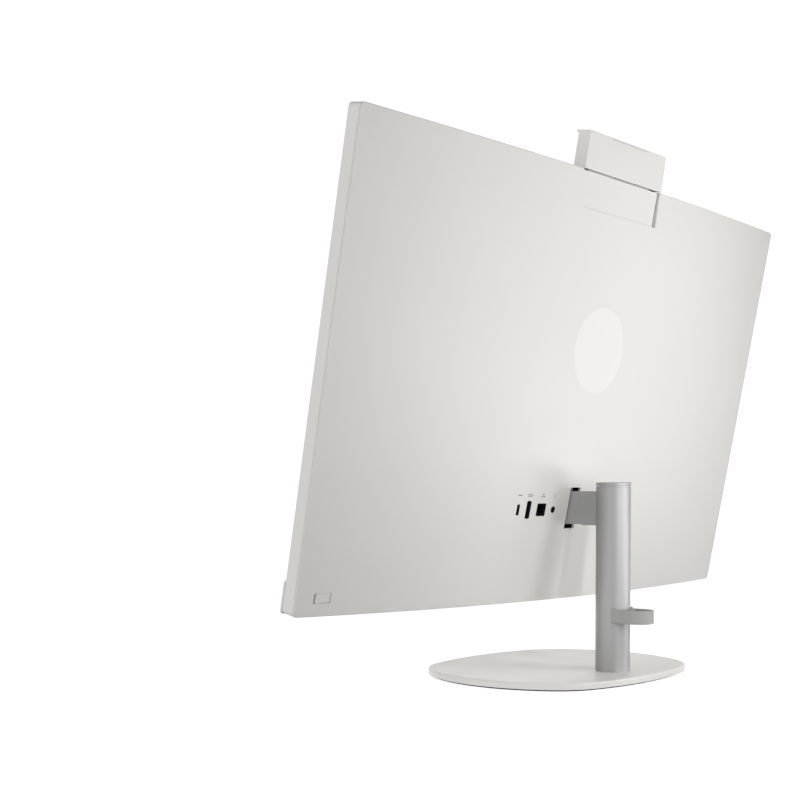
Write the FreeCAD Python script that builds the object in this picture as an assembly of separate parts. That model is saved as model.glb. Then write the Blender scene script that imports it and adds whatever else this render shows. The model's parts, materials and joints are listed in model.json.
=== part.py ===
"""All-in-one desktop computer on a column stand.  Millimetres, +Z up.

Row frame: +X to the right of a person facing the screen, +Y to the rear, and the origin on
the desk under the middle of the base.  The display head is modelled upright in its own frame
(x across, y depth behind the front face, z up from the bottom edge) and place_head leans it
back by REST_TILT on to the stand.
"""
import FreeCAD
import Part
import math
import os

V = FreeCAD.Vector

# Display head
HEAD_W = 613.0
HEAD_H = 370.0
HEAD_CORNER_R = 4.0
EDGE_DEPTH = 13.0
CROWN = 16.5
BULGE = 3.8
COVER_WALL = 2.2
COVER_RIM = 0.9
RIM_ROUND = 0.8
FRAME_WALL = 2.0
SEAM = 0.3
REST_TILT = 11.1
HEAD_FRONT_Y = -33.0
HEAD_BOTTOM_Z = 71.5

# Screen stack, front to back
CHIN_H = 25.0
CHIN_PROUD = 2.5
CHIN_GAP = 0.1
FRONT_WALL = 1.4
DISPLAY_Y = 0.3
DISPLAY_T = 1.7
BACKLIGHT_T = 3.9
FIT_GAP = 0.3
LEDGE_T = 1.2
LEDGE_W = 6.0
CHASSIS_T = 1.0

# Stand
BASE_W = 245.0
BASE_D = 194.0
BASE_CORNER_R = 62.0
BASE_CORNER_FROM_SIDE = 70.5
BASE_CORNER_FROM_BACK = 69.0
PLATE_T = 5.4
FOOT_PROUD = 1.4
FOOT_SUNK = 0.8
FOOT_W = 5.0
FOOT_INSET = 3.0
FOOT_SPLIT = 3.0
COLUMN_Y = 58.0
COLUMN_R = 15.0
COLUMN_WALL = 2.4
COLUMN_H = 164.0
CAP_T = 3.0
CAP_SEAM = 0.4
CORE_GAP = 0.2
BOLT_R = 4.0
BOLT_HEAD_R = 7.5
BOLT_HEAD_T = 3.2
BOLT_GAP = 0.3
BOLT_SOCKET_R = 2.9
BOLT_SOCKET_DEEP = 2.0
BOLT_GRIP = 0.6
PIN_R = 1.5
PIN_X = 9.0
PIN_FIT = 0.02
PIN_RISE = 5.0

# Arm and tilt hinge
ARM_T = 12.0
ARM_H = 29.0
ARM_TOP_DROP = 7.6
KNUCKLE_R = 7.0
LUG_RISE = 4.0
LUG_REACH = 10.0
PIVOT_Y = 18.5
PIVOT_Z = 84.5
SHAFT_R = 4.0
SHAFT_RUN_GAP = 0.05
EAR_R = 8.0
EAR_T = 3.0
EAR_GAP = 1.5
WASHER_T = 1.2
BRACKET_W = 64.0
BRACKET_H = 56.0
BRACKET_T = 2.0
ARM_SLOT_W = 14.8
ARM_SLOT_H = 37.4
SLEEVE_T = 0.8
SLEEVE_L = 14.0
SLOT_CORNER_R = 0.8
SHAFT_HEAD_R = 6.0
SHAFT_HEAD_T = 2.5
NUT_R = 7.0
NUT_T = 5.0
PRESS_FIT = 0.02
SCREW_INSET = 6.0

# Cable ring
RING_Z = 49.6
RING_H = 11.5
RING_W = 27.0
RING_T = 2.0
RING_REACH = 38.9
RING_TAB_L = 12.0
RING_TAB_H = 1.0

# Pop-up camera
CAM_W = 118.0
CAM_TRAVEL = 30.9
CAM_FRONT_Y = 17.2
CAM_WALL = 1.3
CAM_LIP = 2.0
CAM_CAP_T = 2.0
CAM_CAP_SKIN = 0.7
CAM_RAISE = 0.3
CAM_GAP = 0.3
CAM_FLOOR_Y = 27.15
CAM_FLOOR_T = 2.0
CAM_NOTCH_W = 57.0
CAM_NOTCH_H = 1.9
CAM_NOTCH_R = 9.0
CAM_NOTCH_TILT = 32.0
CAM_TONGUE_W = 96.0
CAM_TONGUE_H = 30.0
CAM_TONGUE_T = 3.0
CAM_RAIL_W = 5.0

# Electronics
BOARD_W = 196.0
BOARD_Z0 = 72.0
BOARD_H = 170.0
BOARD_T = 1.6
STANDOFF_H = 3.5
STANDOFF_R = 3.0
SCREW_R = 1.5
SCREW_HEAD_R = 2.8
SCREW_HEAD_T = 1.4
SCREW_GAP = 0.1
PORT_Z = 83.2
PORT_SETBACK = 0.5
PORT_MARGIN = 0.35
SHELL_T = 0.4
USB_C_X = 78.0
VIDEO_X = 64.0
NETWORK_X = 46.0
DC_X = 29.0
USB_A_X = (-30.0, -44.0, -58.0, -72.0)
AUDIO_X = -86.0
FAN_X = -150.0
FAN_Z = 150.0
FAN_R = 34.0
FAN_T = 10.0
FAN_GAP = 1.5
FAN_HUB_R = 12.0
FAN_BLADES = 23
FAN_AXLE_R = 1.5
FIN_COUNT = 24
FIN_T = 0.4
PIPE_R = 2.5
CPU_X = 20.0
CPU_Z = 190.0
MEMORY_X = -58.2
MEMORY_Z = 100.0
MEMORY_W = 67.6
MEMORY_H = 30.0
MEMORY_PITCH = 34.0
CARD_X = 63.0
CARD_W = 22.0
CARD_LIFT = 2.0
DRIVE_Z0 = 130.0
DRIVE_L = 80.0
DRIVE_T = 2.2
RADIO_Z0 = 96.0
RADIO_L = 30.0
RADIO_T = 1.6
CELL_X = -10.0
CELL_Z = 135.0
CELL_R = 10.0

# Speakers and antennas
SPEAKER_FROM_SIDE = 116.5
SPEAKER_Z = 26.0
SPEAKER_W = 120.0
SPEAKER_H = 36.0
SPEAKER_T = 8.0
CONE_OFFSET = -20.0
CONE_R = 11.5
ANTENNA_X = 145.0
ANTENNA_W = 50.0
ANTENNA_DROP = 10.0
ANTENNA_H = 10.0

# Power button
BUTTON_X = 281.0
BUTTON_Z = 14.3
BUTTON_W = 15.0
BUTTON_H = 7.2
BUTTON_GAP = 0.2
BUTTON_SLIT = 1.2
BUTTON_T = 3.2
BUTTON_PROUD = 0.2
BUTTON_TRAVEL = 0.8

# Emblem on the cover
EMBLEM_R = 37.0
EMBLEM_Z = 225.0
EMBLEM_T = 1.0
EMBLEM_GAP = 0.1

# Vents
VENT_W = 2.2
VENT_PITCH = 5.0
VENT_COUNT = 26
VENT_X = 150.0

BASE_TOP_Z = FOOT_PROUD + PLATE_T
COLUMN_TOP_Z = BASE_TOP_Z + COLUMN_H
ARM_TOP_Z = COLUMN_TOP_Z - ARM_TOP_DROP
ARM_BOTTOM_Z = ARM_TOP_Z - ARM_H
BACKLIGHT_Y = DISPLAY_Y + DISPLAY_T + 0.1
LEDGE_Y = BACKLIGHT_Y + BACKLIGHT_T + 0.1
CHASSIS_Y = LEDGE_Y + LEDGE_T
BRACKET_Y = CHASSIS_Y + CHASSIS_T
BOARD_Y = BRACKET_Y + STANDOFF_H
BOARD_REAR_Y = BOARD_Y + BOARD_T
COVER_Y = EDGE_DEPTH - COVER_RIM
FRAME_REAR_Y = COVER_Y - SEAM
CAM_RECESS_Z = HEAD_H - CAM_TRAVEL + CAM_RAISE - CAM_GAP
CAM_RECESS_Y = CAM_FLOOR_Y - CAM_FLOOR_T
CAM_FLOOR_HALF = CAM_W / 2 - CAM_WALL - CAM_GAP
SPEAKER_X = HEAD_W / 2 - SPEAKER_FROM_SIDE
FAR = 80.0


# ---------------------------------------------------------------- shape helpers
def box(x0, x1, y0, y1, z0, z1):
    return Part.makeBox(x1 - x0, y1 - y0, z1 - z0, V(x0, y0, z0))


def rounded_plate(x0, x1, z0, z1, y0, y1, radius):
    """A plate in the XZ plane, y0 to y1 thick, with its four corners rounded."""
    solid = box(x0, x1, y0, y1, z0, z1)
    upright = [e for e in solid.Edges if abs(e.Vertexes[0].Y - e.Vertexes[1].Y) > 1e-6]
    return solid.makeFillet(radius, upright)


def rod_y(x, z, radius, y0, y1):
    return Part.makeCylinder(radius, y1 - y0, V(x, y0, z), V(0, 1, 0))


def rod_x(y, z, radius, x0, x1):
    return Part.makeCylinder(radius, x1 - x0, V(x0, y, z), V(1, 0, 0))


def rod_z(x, y, radius, z0, z1):
    return Part.makeCylinder(radius, z1 - z0, V(x, y, z0), V(0, 0, 1))


def ring_y(x, z, outer, inner, y0, y1):
    return rod_y(x, z, outer, y0, y1).cut(rod_y(x, z, inner, y0 - 1, y1 + 1))


def ring_x(y, z, outer, inner, x0, x1):
    return rod_x(y, z, outer, x0, x1).cut(rod_x(y, z, inner, x0 - 1, x1 + 1))


def group(solids):
    return Part.makeCompound(solids)


def fuse_all(solids):
    return solids[0].multiFuse(solids[1:]).removeSplitter()


def cover_depth(x, z):
    """Depth of the rear cover's outer face behind the head's front face."""
    across = 1.0 - (2.0 * x / HEAD_W) ** 2
    up = z / HEAD_H
    return EDGE_DEPTH + across * (CROWN + BULGE * 4.0 * up * (1.0 - up))


def behind_front(offset, lift=0.0):
    """Everything in front of the cover's outer face moved by offset along y and lift up."""
    steps = 8
    over = 1.1
    rows = []
    for i in range(steps + 1):
        x = over * HEAD_W * (i / steps - 0.5)
        row = []
        for j in range(steps + 1):
            z = HEAD_H * (0.5 + over * (j / steps - 0.5))
            row.append(V(x, cover_depth(x, z) + offset, z + lift))
        rows.append(row)
    surface = Part.BSplineSurface()
    surface.interpolate(rows)
    return surface.toShape().extrude(V(0, -FAR, 0))


def place_head(shape):
    placed = shape.copy()
    placed.rotate(V(0, 0, 0), V(1, 0, 0), -REST_TILT)
    placed.translate(V(0, HEAD_FRONT_Y, HEAD_BOTTOM_Z))
    return placed


def head_point(x, y, z):
    """Row-frame place of a point given in the head's own frame."""
    lean = math.radians(REST_TILT)
    return V(x, HEAD_FRONT_Y + z * math.sin(lean) + y * math.cos(lean),
             HEAD_BOTTOM_Z + z * math.cos(lean) - y * math.sin(lean))


def export(name, shape):
    shape.exportStep("parts/%s.step" % name)


def screws_y(places, head_y, length):
    """Pan-head screws driven forwards along -y, the undersides of their heads at head_y."""
    solids = []
    for x, z in places:
        head = rod_y(x, z, SCREW_HEAD_R, head_y, head_y + SCREW_HEAD_T)
        socket = rod_y(x, z, 0.9, head_y + 0.5, head_y + SCREW_HEAD_T + 1)
        shank = rod_y(x, z, SCREW_R, head_y - length, head_y)
        solids.append(head.cut(socket).fuse(shank).removeSplitter())
    return group(solids)


def screw_holes(places, y0, y1):
    return group([rod_y(x, z, SCREW_R + SCREW_GAP, y0, y1) for x, z in places])


# ---------------------------------------------------------------- stand
def base_outline(inset, z):
    """Rounded outline of eight tangent arcs: four sides and four corners."""
    half_w = BASE_W / 2 - inset
    half_d = BASE_D / 2 - inset
    corner = BASE_CORNER_R - inset
    cx = BASE_W / 2 - BASE_CORNER_FROM_SIDE
    cy = BASE_D / 2 - BASE_CORNER_FROM_BACK
    reach = cx * cx + cy * cy
    back_y = (reach - (half_d - corner) ** 2) / (2 * (half_d - corner - cy))
    side_x = (reach - (half_w - corner) ** 2) / (2 * (half_w - corner - cx))

    def meet(ox, oy):
        """Where the big arc centred at (ox, oy) runs into the first-quadrant corner arc."""
        away = math.atan2(cy - oy, cx - ox)
        return cx + corner * math.cos(away), cy + corner * math.sin(away)

    hx, hy = meet(0.0, -back_y)
    vx, vy = meet(-side_x, 0.0)
    middle = math.atan2(hy + vy - 2 * cy, hx + vx - 2 * cx)
    mx = cx + corner * math.cos(middle)
    my = cy + corner * math.sin(middle)
    quarter = [(hx, hy), (mx, my), (vx, vy)]
    edges = []
    for sx, sy in ((1, 1), (1, -1), (-1, -1), (-1, 1)):
        a, m, b = [V(sx * px, sy * py, z) for px, py in quarter]
        edges.append(Part.Arc(a, m, b).toShape())
    edges.append(Part.Arc(V(-hx, hy, z), V(0, half_d, z), V(hx, hy, z)).toShape())
    edges.append(Part.Arc(V(-hx, -hy, z), V(0, -half_d, z), V(hx, -hy, z)).toShape())
    edges.append(Part.Arc(V(vx, -vy, z), V(half_w, 0, z), V(vx, vy, z)).toShape())
    edges.append(Part.Arc(V(-vx, -vy, z), V(-half_w, 0, z), V(-vx, vy, z)).toShape())
    return Part.Wire(Part.__sortEdges__(edges))


def base_slab(inset, z0, z1):
    return Part.Face(base_outline(inset, z0)).extrude(V(0, 0, z1 - z0))


def foot_ring(z0, z1, slack):
    outer = base_slab(FOOT_INSET - slack, z0, z1)
    return outer.cut(base_slab(FOOT_INSET + FOOT_W + slack, z0 - 1, z1 + 1))


def pin_pair(radius, z0, z1):
    return group([rod_z(x, COLUMN_Y, radius, z0, z1) for x in (-PIN_X, PIN_X)])


def make_base_plate():
    plate = base_slab(0.0, FOOT_PROUD, BASE_TOP_Z)
    rim = [e for e in plate.Edges if min(v.Z for v in e.Vertexes) > BASE_TOP_Z - 1e-6]
    plate = plate.makeFillet(PLATE_T / 4, rim)
    plate = plate.cut(foot_ring(FOOT_PROUD - 1, FOOT_PROUD + FOOT_SUNK, 0.05))
    bore = rod_z(0, COLUMN_Y, BOLT_R + BOLT_GAP, 0, BASE_TOP_Z + 1)
    sink = rod_z(0, COLUMN_Y, BOLT_HEAD_R + BOLT_GAP, 0, FOOT_PROUD + BOLT_HEAD_T)
    return plate.cut(bore).cut(sink).cut(pin_pair(PIN_R + PIN_FIT, FOOT_PROUD, BASE_TOP_Z + 1))


def make_base_feet():
    """Two half rings of rubber in the groove under the plate, with small gaps between."""
    ring = foot_ring(0.0, FOOT_PROUD + FOOT_SUNK, 0.0)
    split = FOOT_SPLIT / 2
    return ring.cut(box(-split, split, -FAR * 2, FAR * 2, -1, PLATE_T))


def make_column_tube():
    tube = rod_z(0, COLUMN_Y, COLUMN_R, BASE_TOP_Z, COLUMN_TOP_Z - CAP_T - CAP_SEAM)
    tube = tube.cut(rod_z(0, COLUMN_Y, COLUMN_R - COLUMN_WALL, 0, COLUMN_TOP_Z + 1))
    half = ARM_T / 2 + 0.1
    slot = box(-half, half, COLUMN_Y - COLUMN_R - 1, COLUMN_Y - 5,
               ARM_BOTTOM_Z - 0.1, COLUMN_TOP_Z + 1)
    return tube.cut(slot)


def make_column_cap():
    """Turned plug closing the tube: a disc over a spigot pressed into the bore."""
    disc = rod_z(0, COLUMN_Y, COLUMN_R, COLUMN_TOP_Z - CAP_T, COLUMN_TOP_Z)
    rim = [e for e in disc.Edges if abs(e.BoundBox.ZMin - COLUMN_TOP_Z) < 1e-6]
    disc = disc.makeFillet(0.6, rim)
    inner = COLUMN_R - COLUMN_WALL - 0.05
    spigot = rod_z(0, COLUMN_Y, inner, ARM_TOP_Z + 0.2, COLUMN_TOP_Z - CAP_T)
    return disc.fuse(spigot).removeSplitter()


def make_column_core():
    """Steel post inside the tube, clamped between the base plate and the arm."""
    post = rod_z(0, COLUMN_Y, COLUMN_R - COLUMN_WALL - CORE_GAP, BASE_TOP_Z, ARM_BOTTOM_Z)
    post = post.cut(rod_z(0, COLUMN_Y, BOLT_R + BOLT_GAP, 0, ARM_BOTTOM_Z + 1))
    return post.cut(pin_pair(PIN_R + PIN_FIT, BASE_TOP_Z - 1, BASE_TOP_Z + PIN_RISE + 1))


def make_column_pins():
    """Dowels that stop the post turning on the base."""
    return pin_pair(PIN_R, FOOT_PROUD + 0.5, BASE_TOP_Z + PIN_RISE)


def make_column_bolt():
    head = rod_z(0, COLUMN_Y, BOLT_HEAD_R, FOOT_PROUD + 0.2, FOOT_PROUD + BOLT_HEAD_T)
    corners = []
    for k in range(7):
        turn = math.radians(60 * k)
        corners.append(V(BOLT_SOCKET_R * math.cos(turn), COLUMN_Y + BOLT_SOCKET_R * math.sin(turn),
                         FOOT_PROUD))
    socket = Part.Face(Part.makePolygon(corners)).extrude(V(0, 0, BOLT_SOCKET_DEEP))
    shank = rod_z(0, COLUMN_Y, BOLT_R, FOOT_PROUD + BOLT_HEAD_T, ARM_BOTTOM_Z + ARM_H * BOLT_GRIP)
    return head.cut(socket).fuse(shank).removeSplitter()


def pivot_point():
    return head_point(0.0, PIVOT_Y, PIVOT_Z)


def make_hinge_arm():
    """Cast arm: round root in the tube, flat blade, and the knuckle around the hinge shaft."""
    pivot = pivot_point()
    half = ARM_T / 2
    root = rod_z(0, COLUMN_Y, COLUMN_R - COLUMN_WALL - CORE_GAP, ARM_BOTTOM_Z, ARM_TOP_Z)
    blade = box(-half, half, pivot.y, COLUMN_Y, ARM_BOTTOM_Z, ARM_TOP_Z)
    lug = box(-half, half, pivot.y, pivot.y + LUG_REACH, ARM_TOP_Z - 1, ARM_TOP_Z + LUG_RISE)
    knuckle = rod_x(pivot.y, pivot.z, KNUCKLE_R, -half, half)
    arm = fuse_all([root, blade, lug, knuckle])
    bore = rod_x(pivot.y, pivot.z, SHAFT_R + SHAFT_RUN_GAP, -FAR, FAR)
    thread = rod_z(0, COLUMN_Y, BOLT_R + 0.05, ARM_BOTTOM_Z - 1,
                   ARM_BOTTOM_Z + ARM_H * BOLT_GRIP + 1)
    return arm.cut(bore).cut(thread)


def make_arm_sleeve():
    """Moulded trim sleeve under and beside the blade where it meets the column."""
    rear = COLUMN_Y - COLUMN_R
    half = ARM_T / 2
    outer = box(-half - SLEEVE_T, half + SLEEVE_T, rear - SLEEVE_L, COLUMN_Y,
                ARM_BOTTOM_Z - SLEEVE_T, ARM_TOP_Z)
    inner = box(-half - 0.02, half + 0.02, 0, COLUMN_Y + 1, ARM_BOTTOM_Z - 0.02, ARM_TOP_Z + 1)
    column = rod_z(0, COLUMN_Y, COLUMN_R + 0.05, 0, FAR * 3)
    return outer.cut(inner).cut(column)


def make_cable_ring():
    """U-shaped band behind the column, on a saddle that fits the tube."""
    top = RING_Z + RING_H
    outer_r = RING_W / 2
    centre_y = COLUMN_Y + RING_REACH - outer_r
    outer = fuse_all([rod_z(0, centre_y, outer_r, RING_Z, top),
                      box(-outer_r, outer_r, COLUMN_Y, centre_y, RING_Z, top)])
    inner_r = outer_r - RING_T
    mouth_y = COLUMN_Y + COLUMN_R + RING_T
    inner = fuse_all([rod_z(0, centre_y, inner_r, RING_Z - 1, top + 1),
                      box(-inner_r, inner_r, mouth_y, centre_y, RING_Z - 1, top + 1)])
    tube = rod_z(0, COLUMN_Y, COLUMN_R + 0.02, 0, FAR * 2)
    band = outer.cut(inner).cut(tube)
    lips = [e for e in band.Edges if e.BoundBox.ZLength < 1e-6 and e.BoundBox.YMax > mouth_y + 1]
    band = band.makeFillet(0.5, lips)
    tabs = []
    for side in (-1, 1):
        x0 = min(side * outer_r, side * inner_r)
        tab = box(x0, x0 + RING_T, COLUMN_Y, COLUMN_Y + RING_TAB_L, top - 1, top + RING_TAB_H)
        tabs.append(tab.cut(tube))
    return fuse_all([band] + tabs)


# ---------------------------------------------------------------- head: screen and frame
def head_plate(inset, y0, y1):
    half = HEAD_W / 2 - inset
    corner = max(HEAD_CORNER_R - inset, 0.5)
    return rounded_plate(-half, half, inset, HEAD_H - inset, y0, y1, corner)


def ledge_places():
    """Screw places on the frame's inner ledge, shared by the frame, chassis and screws."""
    half = HEAD_W / 2 - FRAME_WALL - LEDGE_W / 2
    low = CHIN_H / 2
    high = HEAD_H - FRAME_WALL - LEDGE_W / 2
    mid = HEAD_H / 2
    return [(-half, low), (half, low), (-half, high), (half, high), (-half, mid), (half, mid)]


def make_front_frame():
    """Perimeter frame: side walls, a front wall behind the chin and a ledge for the screen."""
    rear = FRAME_REAR_Y
    frame = head_plate(0.0, 0.0, rear).cut(head_plate(FRAME_WALL, -1.0, rear + 1))
    half = HEAD_W / 2 - FRAME_WALL
    chin = box(-half, half, 0.0, FRONT_WALL, FRAME_WALL, CHIN_H)
    ledge = head_plate(FRAME_WALL / 2, LEDGE_Y, LEDGE_Y + LEDGE_T)
    opening = box(-half + LEDGE_W, half - LEDGE_W, 0, FAR, CHIN_H + 1, HEAD_H - FRAME_WALL - LEDGE_W)
    ledge = ledge.cut(opening)
    shelf = box(-half, half, FRONT_WALL, LEDGE_Y, CHIN_H - 1.6, CHIN_H)
    frame = fuse_all([frame, chin, ledge, shelf])
    rim = [e for e in frame.Edges if e.BoundBox.YMax < 1e-6 and (
        e.BoundBox.ZMax > HEAD_H - 1e-3 or abs(e.BoundBox.XMin) > HEAD_W / 2 - 1e-3
        or abs(e.BoundBox.XMax) > HEAD_W / 2 - 1e-3)]
    if rim:
        frame = frame.makeChamfer(0.4, rim)
    return frame.cut(screw_holes(ledge_places(), LEDGE_Y - 1, LEDGE_Y + LEDGE_T + 1))


def make_chin_cover():
    """Proud strip along the bottom of the front, rounded at its lower front edge."""
    half = HEAD_W / 2
    strip = rounded_plate(-half, half, 0.0, CHIN_H, -CHIN_PROUD, -CHIN_GAP, HEAD_CORNER_R / 2)
    front = [e for e in strip.Edges if e.BoundBox.YMax < -CHIN_PROUD + 1e-6]
    return strip.makeFillet(1.0, front)


def screen_layer(y0, y1):
    """One layer of the screen, as large as fits inside the frame's walls above the chin."""
    half = HEAD_W / 2 - FRAME_WALL - FIT_GAP
    return rounded_plate(-half, half, CHIN_H + FIT_GAP, HEAD_H - FRAME_WALL - FIT_GAP, y0, y1,
                         HEAD_CORNER_R - FRAME_WALL)


def make_display_panel():
    return screen_layer(DISPLAY_Y, DISPLAY_Y + DISPLAY_T)


def make_backlight():
    return screen_layer(BACKLIGHT_Y, BACKLIGHT_Y + BACKLIGHT_T)


def board_places():
    half = BOARD_W / 2 - SCREW_INSET
    low = BOARD_Z0 + 40
    high = BOARD_Z0 + BOARD_H - SCREW_INSET
    return [(-half, low), (half, low), (-half, high), (half, high)]


def bracket_places():
    half = BRACKET_W / 2 - SCREW_INSET
    low = PIVOT_Z - BRACKET_H / 2 + SCREW_INSET
    high = PIVOT_Z + BRACKET_H / 2 - SCREW_INSET
    return [(-half, low), (half, low), (-half, high), (half, high)]


def fan_places():
    reach = FAN_R + 6
    return [(FAN_X - reach, FAN_Z - reach), (FAN_X + reach, FAN_Z - reach),
            (FAN_X - reach, FAN_Z + reach), (FAN_X + reach, FAN_Z + reach)]


def make_chassis_plate():
    """Pressed steel sheet that carries the hinge, board, fan and speakers."""
    half = HEAD_W / 2 - FRAME_WALL - 0.5
    rear = CHASSIS_Y + CHASSIS_T
    sheet = rounded_plate(-half, half, FRAME_WALL + 0.5, HEAD_H - FRAME_WALL - 0.5,
                          CHASSIS_Y, rear, HEAD_CORNER_R - FRAME_WALL)
    windows = []
    for x0, x1 in ((-half + 20, -half + 80), (half - 150, half - 80)):
        windows.append(rounded_plate(x0, x1, HEAD_H / 2 - 50, HEAD_H - 60, 0, FAR, 6.0))
    sheet = sheet.cut(group(windows))
    return sheet.cut(screw_holes(ledge_places() + bracket_places(), 0, FAR))


def make_chassis_screws():
    return screws_y(ledge_places(), CHASSIS_Y + CHASSIS_T, CHASSIS_T + LEDGE_T - 0.1)


# ---------------------------------------------------------------- head: tilt hinge
def make_hinge_bracket():
    """Folded steel bracket: a flat foot on the chassis and two ears that carry the shaft."""
    half = BRACKET_W / 2
    foot = rounded_plate(-half, half, PIVOT_Z - BRACKET_H / 2, PIVOT_Z + BRACKET_H / 2,
                         BRACKET_Y, BRACKET_Y + BRACKET_T, 3.0)
    solids = [foot]
    for side in (-1, 1):
        near = side * (ARM_T / 2 + EAR_GAP)
        far = near + side * EAR_T
        x0 = min(near, far)
        x1 = max(near, far)
        ear = rod_x(PIVOT_Y, PIVOT_Z, EAR_R, x0, x1)
        solids.append(ear.common(box(x0, x1, BRACKET_Y, FAR, 0, HEAD_H)))
        solids.append(box(x0, x1, BRACKET_Y + BRACKET_T / 2, PIVOT_Y, PIVOT_Z - EAR_R, PIVOT_Z + EAR_R))
    bracket = fuse_all(solids)
    bore = rod_x(PIVOT_Y, PIVOT_Z, SHAFT_R + PRESS_FIT, -FAR, FAR)
    ear_in = ARM_T / 2 + EAR_GAP
    ear_out = ear_in + EAR_T
    windows = [box(x0, x1, 0, BRACKET_Y + BRACKET_T + 1, PIVOT_Z - EAR_R, PIVOT_Z + EAR_R)
               for x0, x1 in ((-ear_in, ear_in), (-ear_out - NUT_T - 2, -ear_out),
                              (ear_out, ear_out + SHAFT_HEAD_T + 1))]
    holes = screw_holes(bracket_places(), 0, FAR)
    return bracket.cut(bore).cut(group(windows)).cut(holes)


def make_hinge_shaft():
    reach = ARM_T / 2 + EAR_GAP + EAR_T
    pin = rod_x(PIVOT_Y, PIVOT_Z, SHAFT_R, -reach - NUT_T - 1.5, reach + 1)
    head = rod_x(PIVOT_Y, PIVOT_Z, SHAFT_HEAD_R, reach + PRESS_FIT, reach + SHAFT_HEAD_T)
    return pin.fuse(head).removeSplitter()


def make_friction_washers():
    near = ARM_T / 2 + EAR_GAP
    return group([ring_x(PIVOT_Y, PIVOT_Z, KNUCKLE_R, SHAFT_R + 0.05, -near, -near + WASHER_T),
                  ring_x(PIVOT_Y, PIVOT_Z, KNUCKLE_R, SHAFT_R + 0.05, near - WASHER_T, near)])


def make_hinge_nut():
    reach = ARM_T / 2 + EAR_GAP + EAR_T
    corners = []
    for k in range(7):
        turn = math.radians(60 * k)
        corners.append(V(-reach - NUT_T, PIVOT_Y + NUT_R * math.cos(turn),
                         PIVOT_Z + NUT_R * math.sin(turn)))
    nut = Part.Face(Part.makePolygon(corners)).extrude(V(NUT_T - PRESS_FIT, 0, 0))
    return nut.cut(rod_x(PIVOT_Y, PIVOT_Z, SHAFT_R + PRESS_FIT, -FAR, FAR))


def make_hinge_screws():
    return screws_y(bracket_places(), BRACKET_Y + BRACKET_T, BRACKET_T + CHASSIS_T - 0.1)


# ---------------------------------------------------------------- head: rear cover
def port_sizes():
    """Mouth width, mouth height and x of each socket, as seen from behind."""
    sizes = [(3.2, 9.0, USB_C_X), (5.5, 15.0, VIDEO_X), (11.9, 10.6, NETWORK_X)]
    for x in USB_A_X:
        sizes.append((5.2, 13.2, x))
    return sizes


def port_cuts():
    cuts = []
    for width, height, x in port_sizes():
        half_w = width / 2 + PORT_MARGIN
        half_h = height / 2 + PORT_MARGIN
        corner = min(1.2, half_w - 0.3)
        cuts.append(rounded_plate(x - half_w, x + half_w, PORT_Z - half_h, PORT_Z + half_h,
                                  EDGE_DEPTH, FAR, corner))
    cuts.append(rod_y(DC_X, PORT_Z, 2.7 + PORT_MARGIN, EDGE_DEPTH, FAR))
    cuts.append(rod_y(AUDIO_X, PORT_Z, 2.2 + PORT_MARGIN, EDGE_DEPTH, FAR))
    return group(cuts)


def vent_cuts():
    """Rows of slots through the cover's bottom and top walls."""
    cuts = []
    span = (VENT_COUNT - 1) * VENT_PITCH / 2
    for side in (-1, 1):
        for k in range(VENT_COUNT):
            x = side * VENT_X - span + k * VENT_PITCH
            rear = cover_depth(x, 0) - COVER_WALL - 1.5
            front = EDGE_DEPTH + 1.5
            if rear - front < VENT_W:
                continue
            cuts.append(box(x - VENT_W / 2, x + VENT_W / 2, front, rear, -1, COVER_WALL + 1))
            cuts.append(box(x - VENT_W / 2, x + VENT_W / 2, front, rear,
                            HEAD_H - COVER_WALL - 1, HEAD_H + 1))
    return group(cuts)


def camera_recess_cut():
    half = CAM_W / 2 + CAM_GAP
    recess = box(-half, half, CAM_RECESS_Y - 3, FAR, CAM_RECESS_Z, HEAD_H + 1)
    slot = box(-half, half, CAM_FRONT_Y - CAM_LIP - CAM_GAP, CAM_FLOOR_Y,
               HEAD_H - COVER_WALL - 1, HEAD_H + 1)
    return recess.fuse(slot)


def camera_pocket():
    """Walls around the camera's path: side walls, bottom ledge and the recess floor."""
    half = CAM_W / 2 + CAM_GAP
    wall = 2.0
    low = CAM_RECESS_Z - wall
    solids = [box(-half - wall, half + wall, CAM_RECESS_Y, FAR / 2, low, CAM_RECESS_Z)]
    for x0 in (-half - wall, half):
        solids.append(box(x0, x0 + wall, CAM_FRONT_Y - CAM_LIP - CAM_GAP, FAR / 2, low, HEAD_H))
    solids.append(box(-CAM_FLOOR_HALF, CAM_FLOOR_HALF, CAM_RECESS_Y, CAM_FLOOR_Y, low,
                      HEAD_H - CAM_CAP_SKIN - CAM_GAP / 2))
    return solids


def cover_block():
    """Outside of the rear cover as one solid, its rim rounded where the crown meets the sides."""
    block = head_plate(0.0, COVER_Y, FAR / 2).common(behind_front(0.0))
    rim = []
    for edge in block.Edges:
        middle = edge.valueAt((edge.FirstParameter + edge.LastParameter) / 2)
        ends = [v.Point for v in edge.Vertexes] + [middle]
        if all(abs(p.y - cover_depth(p.x, p.z)) < 1e-3 for p in ends):
            rim.append(edge)
    return block.makeFillet(RIM_ROUND, rim)


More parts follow.
